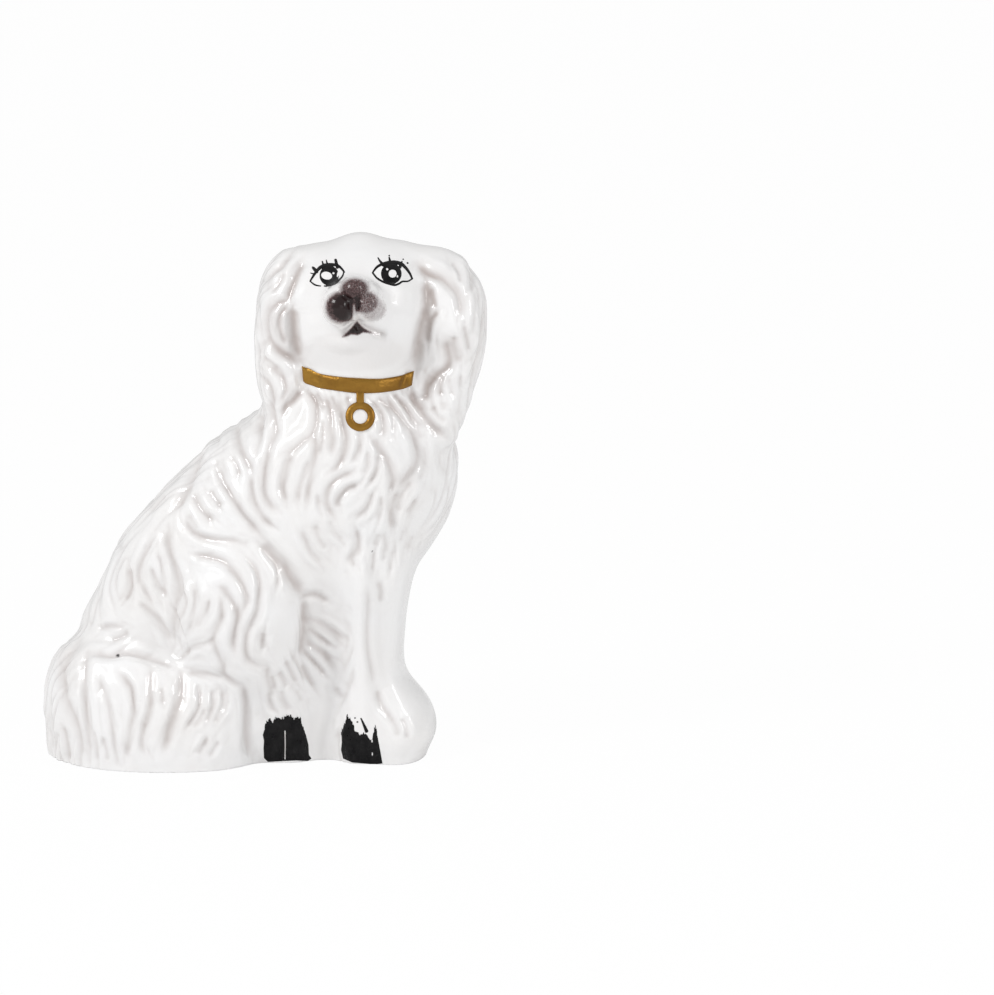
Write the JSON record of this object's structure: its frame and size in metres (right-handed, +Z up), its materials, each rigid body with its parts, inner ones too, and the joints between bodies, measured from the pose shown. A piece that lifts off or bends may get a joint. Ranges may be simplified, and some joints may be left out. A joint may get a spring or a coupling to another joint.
{
  "type": "seated spaniel figure",
  "caption": "Hollow white-glazed earthenware spaniel, seated side-on with its face to the viewer, with gilt collar and locket, painted eyes and toes, and a flat foot.",
  "frame": {"origin": "on the table plane, under the middle of the figure's outer box", "axes": "+Z up; +X the way the seated body and forepaws point, to the viewer's right; -Y the way the face looks, towards the viewer; right and left in node names are the dog's own"},
  "size_m": [0.2568, 0.1208, 0.305],
  "materials": {
    "white_glaze": "glossy lead glaze over white slip, warmer where it pools",
    "bare_clay": "unglazed biscuit earthenware",
    "gilding": "worn bronze-gold gilding, satin",
    "black_enamel": "brushed black overglaze enamel, semi-gloss",
    "brown_enamel": "sponged brown-grey enamel under clear glaze"
  },
  "bodies": {
    "root": {"front_shell": "white_glaze", "back_shell": "white_glaze", "base_slab": "bare_clay", "right_ear": "white_glaze", "left_ear": "white_glaze", "tail": "white_glaze", "right_hind_paw": "white_glaze", "right_foreleg": "white_glaze", "left_foreleg": "white_glaze", "collar": "gilding", "locket": "gilding", "right_eye": "black_enamel", "left_eye": "black_enamel", "muzzle_tint": "brown_enamel", "hind_toe_enamel": "black_enamel", "fore_toe_enamel": "black_enamel"}
  },
  "joints": []
}
